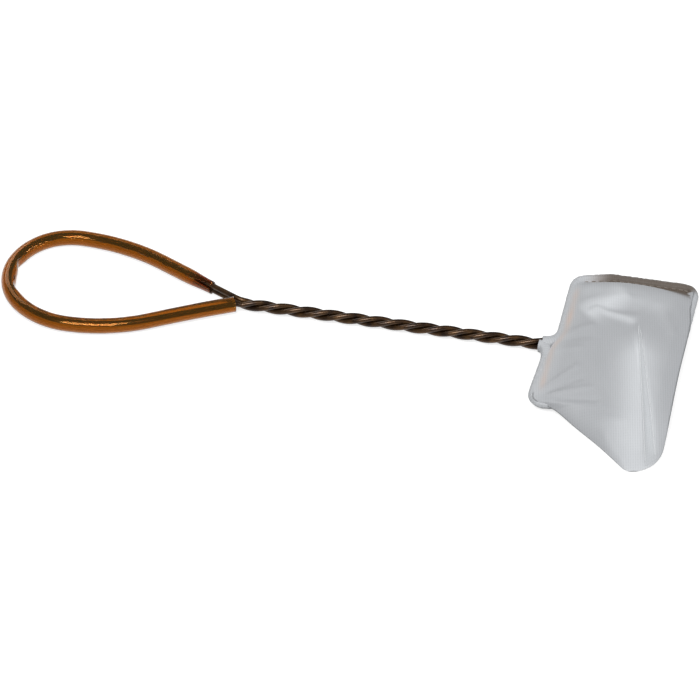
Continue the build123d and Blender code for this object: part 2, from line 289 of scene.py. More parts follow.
def surface(bm, across, along, place, flat, tone):
    """A grid whose points place(u, v) puts in space, with UVs of flat millimetres for the weave.

    tone(u, v) gives how far the cloth lies double or has a painted highlight there, how far it has painted
    shade along the far hem, and how far the wire shows through it. On the sleeve, dim is how far towards
    the slit end the vinyl is coloured darker and reddish.
    """
    uv = bm.loops.layers.uv.get("UVMap") or bm.loops.layers.uv.new("UVMap")
    floats = bm.verts.layers.float
    for name in TONES:
        if floats.get(name) is None:
            floats.new(name)
    layers = [floats[name] for name in TONES]
    made = bmesh.ops.create_grid(bm, x_segments=across, y_segments=along, size=0.5)
    shares = {vert: (vert.co.x + 0.5, vert.co.y + 0.5) for vert in made["verts"]}
    for face in {face for vert in made["verts"] for face in vert.link_faces}:
        face.smooth = True
        for loop in face.loops:
            loop[uv].uv = flat(*shares[loop.vert])
    for vert, (u, v) in shares.items():
        vert.co = place(u, v)
        for layer, value in zip(layers, tone(u, v)):
            vert[layer] = value


def plain_tone(u, v):
    """Cloth that lies single, in the open and off the wire."""
    return 0.0, 0.0, 0.0


def new_piece(name, bm, material):
    """An object of the mesh in bm, riding on the part."""
    mesh = bpy.data.meshes.new(name)
    bm.to_mesh(mesh)
    bm.free()
    piece = bpy.data.objects.new(name, mesh)
    bpy.context.scene.collection.objects.link(piece)
    mesh.materials.append(material)
    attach(piece, "root")
    return piece


def apply_modifiers(piece):
    """Keeps what the piece's modifiers make as its mesh."""
    graph = bpy.context.evaluated_depsgraph_get()
    mesh = bpy.data.meshes.new_from_object(piece.evaluated_get(graph))
    piece.modifiers.clear()
    piece.data = mesh


# Materials

# Lengths of the patches of lacquer and of the haze in the vinyl, in millimetres
LACQUER_PATCH = 3.846
HAZE_PATCH = 8.333
# At a scale of 1 the wave texture has 20 bands in a length of 2 pi
WAVE_BANDS = 20
# Spacing of the weft over that of the warp
WEFT_SPACING = 1.3
# How much less the gaps cover than the mesh as a whole, and how much more the threads do
GAP_COVER = 0.03
THREAD_COVER = 0.02


def wire_material():
    """Spring steel wire, drawn and bronze lacquered: a satin brown with tan glints on its curves."""
    colours = bpy.context.scene.fish_net_colours
    material, output = new_material("Spring steel wire, drawn and bronze lacquered")
    tree = material.node_tree
    place = add_node(tree, "ShaderNodeTexCoord")
    # Lacquer pools and thins along the wire in patches a few millimetres long.
    patches = add_node(
        tree,
        "ShaderNodeTexNoise",
        {"Vector": place.outputs["Object"], "Scale": 1 / (LACQUER_PATCH * MM), "Detail": 3.0},
    )
    tone = add_node(tree, "ShaderNodeValToRGB", {"Fac": patches.outputs["Fac"]})
    thick, thin = tone.color_ramp.elements
    thick.position = 0.35
    thick.color = colours.wire_dark
    thin.position = 0.7
    thin.color = colours.wire_light
    rough = add_node(
        tree, "ShaderNodeMapRange", {"Value": patches.outputs["Fac"], "To Min": 0.24, "To Max": 0.38}
    )
    shader = add_node(
        tree,
        "ShaderNodeBsdfPrincipled",
        {
            "Base Color": tone.outputs["Color"],
            "Metallic": 0.75,
            "Roughness": rough.outputs["Result"],
            "Coat Weight": 0.25,
            "Coat Roughness": 0.2,
        },
    )
    tree.links.new(shader.outputs["BSDF"], output.inputs["Surface"])
    return material


def sleeve_material():
    """Plasticised vinyl tube, extruded: clear amber with streaks of light and a dark wire inside."""
    colours = bpy.context.scene.fish_net_colours
    material, output = new_material("Amber vinyl tube, extruded")
    tree = material.node_tree
    place = add_node(tree, "ShaderNodeTexCoord")
    haze = add_node(
        tree,
        "ShaderNodeTexNoise",
        {"Vector": place.outputs["Object"], "Scale": 1 / (HAZE_PATCH * MM), "Detail": 2.0},
    )
    rough = add_node(
        tree, "ShaderNodeMapRange", {"Value": haze.outputs["Fac"], "To Min": 0.08, "To Max": 0.15}
    )
    # The slit end gapes open over two wires, and the vinyl is coloured darker and reddish there.
    slit_end_tint = add_node(tree, "ShaderNodeAttribute", attribute_name="dim")
    tint = add_node(
        tree,
        "ShaderNodeMixRGB",
        {"Fac": slit_end_tint.outputs["Fac"], "Color1": colours.amber, "Color2": colours.slit_end_tint},
    )
    shader = add_node(
        tree,
        "ShaderNodeBsdfPrincipled",
        {
            "Base Color": tint.outputs["Color"],
            "Roughness": rough.outputs["Result"],
            "IOR": 1.53,
            "Transmission Weight": 0.97,
            "Specular Tint": colours.glint,
        },
    )
    # The vinyl itself is coloured, so the wall is darkest at the tube's edges, where one looks along it.
    depth = add_node(tree, "ShaderNodeVolumeAbsorption", {"Color": colours.wall_depth, "Density": 1400.0})
    tree.links.new(shader.outputs["BSDF"], output.inputs["Surface"])
    tree.links.new(depth.outputs["Volume"], output.inputs["Volume"])
    return material


def cloth_material(name, cover):
    """Fine nylon mesh, knitted: grey where single, whiter where double and at painted highlights, ribbed by
    its threads.
    """
    scene = bpy.context.scene
    colours = scene.fish_net_colours
    material, output = new_material(name)
    tree = material.node_tree
    weave = add_node(tree, "ShaderNodeUVMap", uv_map="UVMap")
    # Real threads lie about 0.35 mm apart, finer than a pixel, so they are drawn at the pitch that shows.
    scale = 2 * pi / WAVE_BANDS / (scene.fish_net_sizes.thread_pitch / MM)
    warp = add_node(
        tree,
        "ShaderNodeTexWave",
        {"Vector": weave.outputs["UV"], "Scale": scale, "Distortion": 0.8, "Detail": 1.0},
        wave_type="BANDS",
        bands_direction="X",
    )
    weft = add_node(
        tree,
        "ShaderNodeTexWave",
        {"Vector": weave.outputs["UV"], "Scale": scale / WEFT_SPACING, "Distortion": 0.4},
        wave_type="BANDS",
        bands_direction="Y",
    )
    threads = add_node(
        tree, "ShaderNodeMath", {0: warp.outputs["Fac"], 1: weft.outputs["Fac"]}, operation="MAXIMUM"
    )
    # A second layer under the cloth whitens it, as do painted highlights; then the wire under it tints it
    # bronze; last comes painted shade along the far hem.
    cloth = colours.single
    for tone, tint in (("double", colours.folded), ("wire", colours.bronze), ("dim", colours.painted_shade)):
        share = add_node(tree, "ShaderNodeAttribute", attribute_name=tone)
        mixed = add_node(
            tree, "ShaderNodeMixRGB", {"Fac": share.outputs["Fac"], "Color1": cloth, "Color2": tint}
        )
        cloth = mixed.outputs["Color"]
    ribbed = add_node(
        tree,
        "ShaderNodeMixRGB",
        {"Fac": 0.07, "Color1": cloth, "Color2": warp.outputs["Color"]},
        blend_type="MULTIPLY",
    )
    alpha = add_node(
        tree,
        "ShaderNodeMapRange",
        {
            "Value": threads.outputs["Value"],
            "To Min": cover - GAP_COVER,
            "To Max": min(1.0, cover + THREAD_COVER),
        },
    )
    bump = add_node(
        tree,
        "ShaderNodeBump",
        {"Height": threads.outputs["Value"], "Strength": 0.2, "Distance": 0.0001},
    )
    shader = add_node(
        tree,
        "ShaderNodeBsdfPrincipled",
        {
            "Base Color": ribbed.outputs["Color"],
            "Roughness": 0.55,
            "Alpha": alpha.outputs["Result"],
            "Normal": bump.outputs["Normal"],
            "Sheen Weight": 0.1,
        },
    )
    tree.links.new(shader.outputs["BSDF"], output.inputs["Surface"])
    return material


def thread_material(name, dye):
    """Spun polyester sewing thread: matt, with a soft edge."""
    material, output = new_material(name)
    shader = add_node(
        material.node_tree,
        "ShaderNodeBsdfPrincipled",
        {"Base Color": dye, "Roughness": 0.8, "Sheen Weight": 0.3},
    )
    material.node_tree.links.new(shader.outputs["BSDF"], output.inputs["Surface"])
    return material


# Sleeve

# Points of each arc of the loop, spacing of the tube's rings in millimetres, and faces round a ring
LOOP_ARC_POINTS = 24
RING_STEP = 0.25
RING_FACES = 36
# The slit end is pinched over this length, in millimetres, and so much narrower and lower at its very end
PINCH_LENGTH = 13.0
PINCH_NARROWER = 0.34
PINCH_LOWER = 0.02
# Where the darker, reddish colour of the slit end begins to fade, in millimetres
SLIT_TINT_LENGTH = 4.0
# The two kinks of the bend: place along the tube from the loop's end, and width, in millimetres
KINKS = ((-5.5, 3.0), (10.5, 3.4))
KINK_DEPTH = 1.25
KINK_RISE = 0.15
# Ripples of the wall: height in millimetres, waves a millimetre along it and waves a radian round it
RIPPLE = 0.05
RIPPLE_ALONG = 0.22
RIPPLE_ROUND = 0.8


def loop_line():
    """Middle line of the handle loop from its far fork round the end to its near fork, in millimetres."""
    far_way = Quaternion(UP, radians(180 - FORK_ANGLE)) @ RIGHT
    near_way = Quaternion(UP, radians(FORK_ANGLE)) @ RIGHT
    line = [FAR_FORK]
    line += biarc(FAR_FORK, far_way, FAR_WIDEST, -RIGHT, LOOP_ARC_POINTS)
    line += biarc(FAR_WIDEST, -RIGHT, LOOP_END, -ACROSS, LOOP_ARC_POINTS)
    line += biarc(LOOP_END, -ACROSS, NEAR_WIDEST, RIGHT, LOOP_ARC_POINTS)
    line += biarc(NEAR_WIDEST, RIGHT, NEAR_FORK, near_way, LOOP_ARC_POINTS)
    return respaced(line, RING_STEP)


def build_sleeve():
    """The vinyl tube: slit and pinched at its far end, buckled where it bends round the loop's end."""
    sizes = bpy.context.scene.fish_net_sizes
    radius = sizes.tube_radius / MM
    slit_length = sizes.slit_length / MM
    slit_width = sizes.slit_width / MM
    line = loop_line()
    line = line[round(sizes.tube_setback / MM / RING_STEP):]
    last = len(line) - 1
    bend_place = min(range(len(line)), key=lambda k: line[k].x) * RING_STEP
    length = last * RING_STEP

    def place(u, v):
        k = min(round(v * last), last)
        along = k * RING_STEP
        ahead = (line[min(k + 2, last)] - line[max(k - 2, 0)]).normalized()
        inward = UP.cross(ahead).normalized()
        over = ahead.cross(inward)
        squeeze = 1 - smooth(0, PINCH_LENGTH, along)
        gape = 0.5 * slit_width * max(0.0, 1 - along / slit_length) / radius
        angle = sizes.slit_angle + gape + u * (2 * pi - 2 * gape)
        side = cos(angle)
        rise = sin(angle)
        wide = radius * (1 - PINCH_NARROWER * squeeze)
        high = radius * (1 - PINCH_LOWER * squeeze)
        # The wall buckles at two kinks on the inside of the bend round the end of the loop.
        beyond = along - bend_place
        kink = sum(exp(-((beyond - middle) / width) ** 2) for middle, width in KINKS)
        if side > 0:
            wide -= KINK_DEPTH * kink * side
        high += KINK_RISE * kink
        ripple = RIPPLE * noise.noise(Vector((along * RIPPLE_ALONG, angle * RIPPLE_ROUND, 3.0)))
        return at(line[k] + inward * (side * wide) + over * (rise * high + ripple))

    def tone(u, v):
        return 0.0, 1 - smooth(SLIT_TINT_LENGTH, PINCH_LENGTH, v * length), 0.0

    bm = bmesh.new()
    surface(bm, RING_FACES, last // 2, place, lambda u, v: (u, v * length), tone)
    bmesh.ops.remove_doubles(bm, verts=bm.verts, dist=WELD)
    bmesh.ops.recalc_face_normals(bm, faces=bm.faces)
    piece = new_piece("sleeve_tube", bm, sleeve_material())
    wall = piece.modifiers.new("Wall", "SOLIDIFY")
    wall.thickness = sizes.tube_wall
    wall.offset = -1
    wall.use_even_offset = True
    apply_modifiers(piece)
    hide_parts("handle_sleeve")


class FISHNET_OT_sleeve(bpy.types.Operator):
    """Makes the vinyl sleeve of the handle loop"""

    bl_idname = "fishnet.sleeve"
    bl_label = "Handle sleeve"

    def execute(self, context):
        build_sleeve()
        return {"FINISHED"}


# Hem casing

# The hem's line in millimetres: where the legs start, the far left slope, the corners and the two ends
FAR_LEG_START = 10.0
NEAR_LEG_START = -6.5
SLOPE_START = 39.5
SLOPE_END = 22.5
SLOPE_RADIUS = 18.0
CORNER_RADIUS = 5.1
HEM_ENTRY = Vector((1.3, 0.2, WIRE_HEIGHT))
HEM_EXIT = Vector((1.6, -0.7, WIRE_HEIGHT))
# Points of the arcs at the two ends, spacing of the cross-sections in millimetres, and faces round one
HEM_ARC_POINTS = 12
HEM_STEP = 0.5
HEM_FACES = 30
# Lower half of the cross-section, from the raw edge round to the outermost point, in radii out and up
HALF_RING = [(-1, -0.1), (-0.95, -0.3), (-0.72, -0.7), (0.0, -1.0), (0.72, -0.72), (1.0, 0.0)]
# The ends wrap the stem: from where to where the wrap fades, and how much wider it is on each side, in mm
WRAP_FADE = (1.0, 10.0)
FAR_WRAP = 1.6
NEAR_WRAP = 1.1
# Unevenness of the hem in millimetres: swell, ease over the wire, pucker at each stitch, crumple and lip
SWELL = 0.12
EASE = 0.05
PUCKER = 0.1
STITCH_PITCH = 3.0
CRUMPLE = 0.22
LIP = 1.2
# Waves of the swell and of the crumple a millimetre along the hem, and of the crumple once round it
SWELL_WAVES = 0.35
CRUMPLE_WAVES = 0.9
CRUMPLE_ROUND = 3.0
# Where the lip stands off the wire: it grows towards the near side and to the left, in millimetres
LIP_Y = (-4.0, -30.0)
LIP_X = (14.0, 6.0)
# Points of the cross-section that the flat tail takes up at each raw edge
TAIL_POINTS = 1.5
# The hem's tone: how far it counts as double, the painted shade on its far band, more so on top, and its
# bronze
HEM_DOUBLE = 0.35
BAND_DIM = 0.8
BAND_TOP_DIM = 0.2
BAND_TOP = (0.5, 0.9)
BAND_Y = (38.0, 42.0)
BAND_X = (12.0, 24.0)
BAND_BRONZE = 0.25
BRONZE_Y = (40.0, 43.0)
# How much flatter the hem is at its raw edges, and how far and over what length its first end slants, in mm
TAIL_FLATTER = 0.45
END_SLANT = 0.8
END_LENGTH = 3.0
# Width of the hem's strip in its weave, in millimetres
HEM_WEAVE = 14.0
HEM_COVER = 0.92


def hoop_line():
    """Middle line of the hem from the stem's end along the far leg, round the hoop and back, in mm."""
    far_start = Vector((FAR_LEG, FAR_LEG_START, WIRE_HEIGHT))
    near_start = Vector((NEAR_LEG, NEAR_LEG_START, WIRE_HEIGHT))
    hoop = rounded(
        [
            far_start,
            Vector((FAR_LEG, SLOPE_START, WIRE_HEIGHT)),
            Vector((SLOPE_END, HOOP_FAR, WIRE_HEIGHT)),
            Vector((HOOP_RIGHT, HOOP_FAR, WIRE_HEIGHT)),
            Vector((HOOP_RIGHT, HOOP_NEAR, WIRE_HEIGHT)),
            Vector((NEAR_LEG, HOOP_NEAR, WIRE_HEIGHT)),
            near_start,
        ],
        [CORNER_RADIUS, SLOPE_RADIUS, CORNER_RADIUS, CORNER_RADIUS, CORNER_RADIUS],
        HEM_STEP,
    )
    entry = [HEM_ENTRY] + biarc(HEM_ENTRY, RIGHT, far_start, ACROSS, HEM_ARC_POINTS)
    leave = biarc(near_start, ACROSS, HEM_EXIT, -RIGHT, HEM_ARC_POINTS)
    return respaced(entry + hoop[1:] + leave, HEM_STEP)


def build_casing():
    """The hem: cloth folded double round the hoop wire, wider where it wraps the end of the stem."""
    tail_length = bpy.context.scene.fish_net_sizes.hem_tail / MM
    line = hoop_line()
    last = len(line) - 1
    length = last * HEM_STEP
    ring = HALF_RING + [(out, -rise) for out, rise in reversed(HALF_RING[:-1])]
    last_point = len(ring) - 1

    def place(u, v):
        k = min(round(v * last), last)
        along = k * HEM_STEP
        ahead = (line[min(k + 1, last)] - line[max(k - 1, 0)]).normalized()
        outward = UP.cross(ahead).normalized()
        wrap = 1 - smooth(*WRAP_FADE, min(along, length - along))
        radius = HEM_RADIUS + (FAR_WRAP if along < length / 2 else NEAR_WRAP) * wrap
        radius += SWELL * noise.noise(Vector((along * SWELL_WAVES, 0.0, 1.0))) + EASE
        place_on = u * last_point
        j = min(int(place_on), last_point - 1)
        share = place_on - j
        out = ring[j][0] + (ring[j + 1][0] - ring[j][0]) * share
        rise = ring[j][1] + (ring[j + 1][1] - ring[j][1]) * share
        tail = (1 - wrap) * (1 - smooth(0.0, TAIL_POINTS, min(place_on, last_point - place_on)))
        pucker = PUCKER * sin(2 * pi * along / STITCH_PITCH) * tail
        crumple = noise.noise(Vector((along * CRUMPLE_WAVES, u * CRUMPLE_ROUND, 8.0)))
        pucker += CRUMPLE * crumple * (1 - wrap)
        loose = smooth(*LIP_Y, line[k].y) * smooth(*LIP_X, line[k].x)
        shift = outward * (out * radius + max(0.0, out) * LIP * loose - tail * (tail_length - radius))
        lift = rise * radius * (1 - TAIL_FLATTER * tail) + pucker
        slant = ahead * (END_SLANT * (1 - smooth(0.0, END_LENGTH, along)) * (1 + rise))
        return at(line[k] + shift + UP * lift + slant)

    def tone(u, v):
        spot = line[min(round(v * last), last)]
        band = smooth(*BAND_Y, spot.y) * smooth(*BAND_X, spot.x)
        # Painted shade on the hem's far band, where the bag's wall shades it, darker on top.
        dim = (BAND_DIM + BAND_TOP_DIM * smooth(*BAND_TOP, u)) * band
        return HEM_DOUBLE, dim, BAND_BRONZE * smooth(*BRONZE_Y, spot.y)

    bm = bmesh.new()
    surface(bm, HEM_FACES, last, place, lambda u, v: (v * length, u * HEM_WEAVE), tone)
    piece = new_piece("hem_casing", bm, cloth_material("White nylon mesh, folded double", HEM_COVER))
    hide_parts("bag_casing")


class FISHNET_OT_casing(bpy.types.Operator):
    """Makes the hem that holds the hoop wire"""

    bl_idname = "fishnet.casing"
    bl_label = "Hem casing"

    def execute(self, context):
        build_casing()
        return {"FINISHED"}


# Bag

# Edges of the bag's upper layer from the far hem to the toe, in millimetres from the end of the stem: left
# x, y, z, right x, y, z, how far the middle swells above the line between them, and how far it bows to +Y
BAG_ROWS = [
    (10.4, 37.6, 4.3, 54.6, 40.3, 3.6, 0.0, 0.6),
    (9.2, 33.8, 4.65, 57.0, 34.6, 5.0, 2.3, 3.2),
    (8.9, 29.0, 4.65, 57.6, 29.0, 5.0, 3.2, 1.6),
    (8.9, 20.0, 4.65, 59.1, 20.5, 4.8, 3.6, 0.3),
    (8.8, 9.0, 4.65, 59.4, 8.5, 4.8, 3.7, 0.0),
    (6.2, -5.0, 4.65, 59.5, -6.5, 4.8, 3.4, 0.0),
    (4.9, -18.0, 4.6, 59.9, -20.0, 4.8, 2.75, 0.0),
    (4.3, -29.4, 4.6, 60.3, -29.5, 4.8, 2.1, 0.0),
    (6.2, -33.8, 4.5, 60.4, -33.5, 4.6, 2.0, 0.0),
    (14.6, -36.3, 2.8, 60.5, -37.0, 4.0, 2.6, 0.0),
    (24.0, -42.5, 0.9, 60.5, -43.5, 2.3, 3.3, 0.0),
    (34.5, -50.6, 0.6, 60.3, -50.8, 1.3, 2.6, 0.0),
    (42.6, -57.8, 0.5, 58.6, -56.0, 0.9, 1.5, 0.0),
    (46.4, -61.2, 0.45, 56.0, -59.3, 0.7, 0.8, 0.0),
    (49.0, -62.3, 0.4, 52.4, -61.6, 0.6, 0.2, 0.0),
]
LAST_ROW = len(BAG_ROWS) - 1
# The row where the bag falls over the near side of the hoop, and its share of the way to the toe
NEAR_HEM_ROW = 7
FALL = NEAR_HEM_ROW / LAST_ROW
# How finely the bag is meshed: faces from one row to the next, across it, and across its right fold
FACES_A_ROW = 13
BAG_COLUMNS = 64
SIDE_COLUMNS = 6
# The swell rises over these shares of the width at the left and at the right
CROWN_LEFT = 0.3
CROWN_RIGHT = 0.42
# Folds fade out over one part in this many of the width at each edge, and along the bag at its two ends
EDGE_FADE = 6
FAR_FADE = (0.02, 0.12)
TOE_FADE = (0.93, 1.0)
# Shares of a fold's own line over which it rises and falls
RIDGE_RISE = (-0.02, 0.2)
RIDGE_FALL = (1.06, 0.9)
# Slack of the cloth: height in millimetres, waves a millimetre across and along, and where the noise starts
SLACK = ((0.4, 0.09, 0.06, 5.0), (0.16, 0.28, 0.12, 2.0))
# The mesh is cut on the bias: its warp leans by this angle, in degrees, and so stands upright in the photo
THREAD_LEAN = 11.0
BAG_COVER = 0.98
# Edges of the seam tape, from apex to toe, in millimetres from the end of the stem
SEAM_LEFT = (Vector((38.8, 14.3)), Vector((54.9, -59.4)))
SEAM_RIGHT = (Vector((40.2, 12.0)), Vector((58.6, -54.6)))

# Folds of the bag's upper layer: height, width, and the two ends of the line that each follows, in mm
FOLDS = [
    # The two edges of the seam and the swell beside it
    (0.6, 0.9, SEAM_LEFT[0], SEAM_LEFT[1]),
    (0.5, 0.9, SEAM_RIGHT[0], SEAM_RIGHT[1]),
    (0.6, 6.0, (33.0, 2.0), (46.0, -50.0)),
    # Slack behind the far hem
    (0.4, 2.4, (13.0, 24.0), (38.0, 29.0)),
    (0.8, 3.0, (32.0, 32.0), (19.5, 17.0)),
    (-0.6, 2.4, (13.0, 20.0), (38.0, 22.0)),
    (0.6, 1.6, (18.0, 20.5), (37.0, 15.0)),
    (0.5, 2.5, (44.0, 30.0), (54.0, 12.0)),
    # Pull at the near left corner of the hoop
    (0.8, 1.3, (6.5, -30.0), (20.0, -13.0)),
    (-0.6, 1.3, (8.0, -30.5), (24.0, -19.0)),
    (0.7, 1.3, (9.5, -31.5), (28.0, -24.5)),
    (-0.5, 1.4, (12.0, -33.5), (32.0, -30.5)),
    # Long soft folds down to the toe
    (0.45, 2.6, (25.0, -6.0), (38.0, -48.0)),
    (-0.4, 2.6, (31.0, -20.0), (46.0, -56.0)),
    (0.4, 2.2, (52.0, -8.0), (59.0, -44.0)),
    # Slack beside the end of the stem
    (0.6, 1.5, (9.0, 4.0), (22.0, 10.0)),
    (-0.5, 1.6, (9.0, 0.0), (23.0, 4.0)),
    (0.45, 1.5, (8.0, -5.0), (20.0, -4.0)),
]
# Where the cloth lies double, and painted highlights where it catches the light: how far, width, and the two
# ends of each line, in millimetres
DOUBLED_AND_HIGHLIGHTS = [
    # A painted highlight beside the seam; the seam tape, double and painted lighter against its shade; the
    # toe
    (0.55, 7.5, (40.0, 8.0), (51.0, -58.0)),
    (0.85, 3.0, (39.5, 10.0), (56.5, -54.0)),
    (0.5, 9.0, (43.0, -34.0), (53.0, -66.0)),
    # Painted highlights on the slack behind the far hem
    (0.6, 6.0, (33.0, 33.0), (17.0, 16.0)),
    (0.5, 2.4, (17.0, 19.0), (38.0, 15.0)),
    (0.25, 5.0, (8.0, 31.0), (50.0, 26.0)),
]
# How far the hem under the bag's left edge counts as a second layer, and its shares across and along
HEM_UNDER = 0.3
HEM_UNDER_WIDTH = 0.16
HEM_UNDER_END = (0.5, 0.6)
# Painted shade along the far hem, as shares along and across the bag: where it ends, and where it starts
FAR_SHADE_END = (0.02, 0.07)
FAR_SHADE_LEFT = (0.05, 0.25)
# The wire under the bag's left edge: how strongly it shows, how far right of the wire, and its width in mm
WIRE_SHOWN = 0.75
WIRE_SHIFT = 2.2
WIRE_BLUR = 1.2
# Where the wire goes over from the near leg to the far one, and where it fades at both ends, in millimetres
WIRE_CROSSING = (-6.0, 8.0)
WIRE_NEAR_FADE = (-31.0, -22.0)
WIRE_FAR_FADE = (36.0, 27.0)
# How closely the cloth touches the wire: its mean, how much it changes, and waves a millimetre along it
CONTACT = 0.55
CONTACT_CHANGE = 0.45
CONTACT_WAVES = 0.1
# The fold over the right side of the hoop: its top, and where it ends on the hem, in millimetres
SIDE_TOP_X = 57.2
SIDE_SEAT_X = 54.6
SIDE_SEAT_FAR = 40.6
SIDE_SEAT_HEIGHT = 3.6
# The right fold's place in the weave, in millimetres: where it starts across, its width and its length
SIDE_WEAVE = (52.0, 8.0, 66.0)
# Heights in millimetres: top of the hem, how far under it the flap's lower layer starts, and where that lies
HEM_TOP = 4.85
UNDER_DROP = 1.2
UNDER_TABLE = 0.35
# Shares of the flap's length where its lower layer has reached the top of the hem, and where it falls
UNDER_START = 0.1
UNDER_FALL = (0.2, 0.42)
# How steeply the lower layer leaves the flap's two edges
UNDER_STEEP = 1.6


def ridge(point, start, end, width):
    """1 on the line from start to end, falling off over width to both sides and at its ends."""
    line = end - start
    share = (point - start).dot(line) / line.length_squared
    near = start + line * min(1.0, max(0.0, share))
    beside = exp(-((point - near).length / width) ** 2)
    return beside * smooth(*RIDGE_RISE, share) * smooth(*RIDGE_FALL, share)


def bag_top(u, v):
    """A point of the bag's upper layer in mm: u from left to right, v from the far hem to the toe."""
    left_x, left_y, left_z, right_x, right_y, right_z, crown, bow = through(BAG_ROWS, v)
    x = left_x + (right_x - left_x) * u
    y = left_y + (right_y - left_y) * u + bow * sin(pi * u)
    z = left_z + (right_z - left_z) * u
    left_rise = 1 - max(0.0, 1 - u / CROWN_LEFT) ** 2
    right_rise = 1 - max(0.0, 1 - (1 - u) / CROWN_RIGHT) ** 1.8
    z += crown * left_rise * right_rise
    edge = min(1.0, EDGE_FADE * u) * min(1.0, EDGE_FADE * (1 - u))
    edge *= smooth(*FAR_FADE, v) * (1 - smooth(*TOE_FADE, v))
    point = Vector((x, y))
    for height, width, start, end in FOLDS:
        z += height * edge * ridge(point, Vector(start), Vector(end), width)
    for height, across, along, begin in SLACK:
        z += height * edge * noise.noise(Vector((x * across, y * along, begin)))
    return Vector((x, y, z))


def bag_weave(point):
    """Where a point of the bag lies in its cloth: millimetres across the warp and along it."""
    lean = radians(THREAD_LEAN)
    return point.x * cos(lean) + point.y * sin(lean), point.y * cos(lean) - point.x * sin(lean)


def bag_tone(u, v):
    """Where the upper layer is double or has painted highlights, has painted shade by the far hem, and shows
    the wire.
    """
    point = bag_top(u, v).to_2d()
    double = HEM_UNDER * (1 - smooth(0.0, HEM_UNDER_WIDTH, u)) * (1 - smooth(*HEM_UNDER_END, v))
    # Real second layers and painted highlights both whiten the cloth.
    for share, width, start, end in DOUBLED_AND_HIGHLIGHTS:
        double = max(double, share * ridge(point, Vector(start), Vector(end), width))
    # Painted shade on the bag's far edge, in the furrow along the far hem.
    dim = (1 - smooth(*FAR_SHADE_END, v)) * smooth(*FAR_SHADE_LEFT, u)
    # The wire shows through the cloth as a faint bronze line, weaker where the cloth lies off it.
    wire_x = NEAR_LEG + (FAR_LEG - NEAR_LEG) * smooth(*WIRE_CROSSING, point.y)
    reach = smooth(*WIRE_NEAR_FADE, point.y) * smooth(*WIRE_FAR_FADE, point.y)
    contact = CONTACT + CONTACT_CHANGE * noise.noise(Vector((point.y * CONTACT_WAVES, 0.0, 4.0)))
    wire = WIRE_SHOWN * contact * reach * exp(-((point.x - wire_x - WIRE_SHIFT) / WIRE_BLUR) ** 2)
    return double, dim, wire


def build_bag():
    """The pouch: its upper layer, the fold over the right side of the hoop and the layer under the flap."""

    def flap_row(v):
        return FALL + (1 - FALL) * v

    def top(u, v):
        return at(bag_top(u, v))

    def side(u, v):
        edge = bag_top(1.0, v * FALL)
        seat = Vector((SIDE_SEAT_X, min(edge.y, SIDE_SEAT_FAR), SIDE_SEAT_HEIGHT))
        over = Vector((SIDE_TOP_X, edge.y, HEM_TOP))
        first = edge.lerp(over, min(1.0, 2 * u))
        return at(first.lerp(seat, max(0.0, 2 * u - 1)))

    def under(u, v):
        point = bag_top(0.0, flap_row(v)).lerp(bag_top(1.0, flap_row(v)), u)
        lowest = HEM_TOP + (UNDER_TABLE - HEM_TOP) * smooth(*UNDER_FALL, v)
        lowest -= UNDER_DROP * (1 - smooth(0.0, UNDER_START, v))
        sag = min(1.0, UNDER_STEEP * sin(pi * u) ** 0.5)
        point.z += (min(point.z, lowest) - point.z) * sag
        return at(point)

    def top_weave(u, v):
        return bag_weave(bag_top(u, v))

    def side_weave(u, v):
        start, width, length = SIDE_WEAVE
        return start + u * width, v * length

    def under_weave(u, v):
        return bag_weave(bag_top(u, flap_row(v)))

    hoop_faces = FACES_A_ROW * NEAR_HEM_ROW
    all_faces = FACES_A_ROW * LAST_ROW
    bm = bmesh.new()
    surface(bm, BAG_COLUMNS, all_faces, top, top_weave, bag_tone)
    surface(bm, SIDE_COLUMNS, hoop_faces, side, side_weave, plain_tone)
    surface(bm, BAG_COLUMNS, all_faces - hoop_faces, under, under_weave, plain_tone)
    bmesh.ops.remove_doubles(bm, verts=bm.verts, dist=WELD)
    bmesh.ops.recalc_face_normals(bm, faces=bm.faces)
    piece = new_piece("mesh_bag", bm, cloth_material("White nylon mesh, knitted", BAG_COVER))
    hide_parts("bag_body")
    return piece


# The seam tape: how finely it is meshed, its weave in millimetres, its lift off the bag and its cover
TAPE_COLUMNS = 8
TAPE_ROWS = 90
TAPE_WEAVE = (6.0, 74.0)
TAPE_LIFT = 0.22
TAPE_DOUBLE = 0.9
TAPE_COVER = 0.5
# The seam thread: its two places across the tape, its start and length as shares of the tape's length,
# how many steps it has, and its lift off the bag and radius in millimetres
THREAD_SIDES = (0.04, 0.96)
THREAD_START = 0.03
THREAD_SHARE = 0.94
THREAD_STEPS = 60
THREAD_LIFT = 0.2
THREAD_RADIUS = 0.08
# Halvings in the search for a row of the bag
HALVINGS = 30


def seam_point(side, place):
    """A point of the seam tape in mm: side from its left edge to its right one, place from apex to toe."""
    left = SEAM_LEFT[0].lerp(SEAM_LEFT[1], place)
    right = SEAM_RIGHT[0].lerp(SEAM_RIGHT[1], place)
    return left.lerp(right, side)


def bag_height(point):
    """The height of the bag's upper layer over a point, found by halving the way down its rows."""
    low = 0.0
    high = 1.0
    for _ in range(HALVINGS):
        middle = (low + high) / 2
        left_x, left_y, _, right_x, right_y, _, _, bow = through(BAG_ROWS, middle)
        share = (point.x - left_x) / (right_x - left_x)
        if left_y + (right_y - left_y) * share + bow * sin(pi * share) > point.y:
            low = middle
        else:
            high = middle
    return bag_top(min(1.0, max(0.0, share)), low).z


def on_seam(side, place, lift):
    """A point on the seam in the row frame, lift millimetres above the bag."""
    point = seam_point(side, place)
    return at(Vector((point.x, point.y, bag_height(point) + lift)))


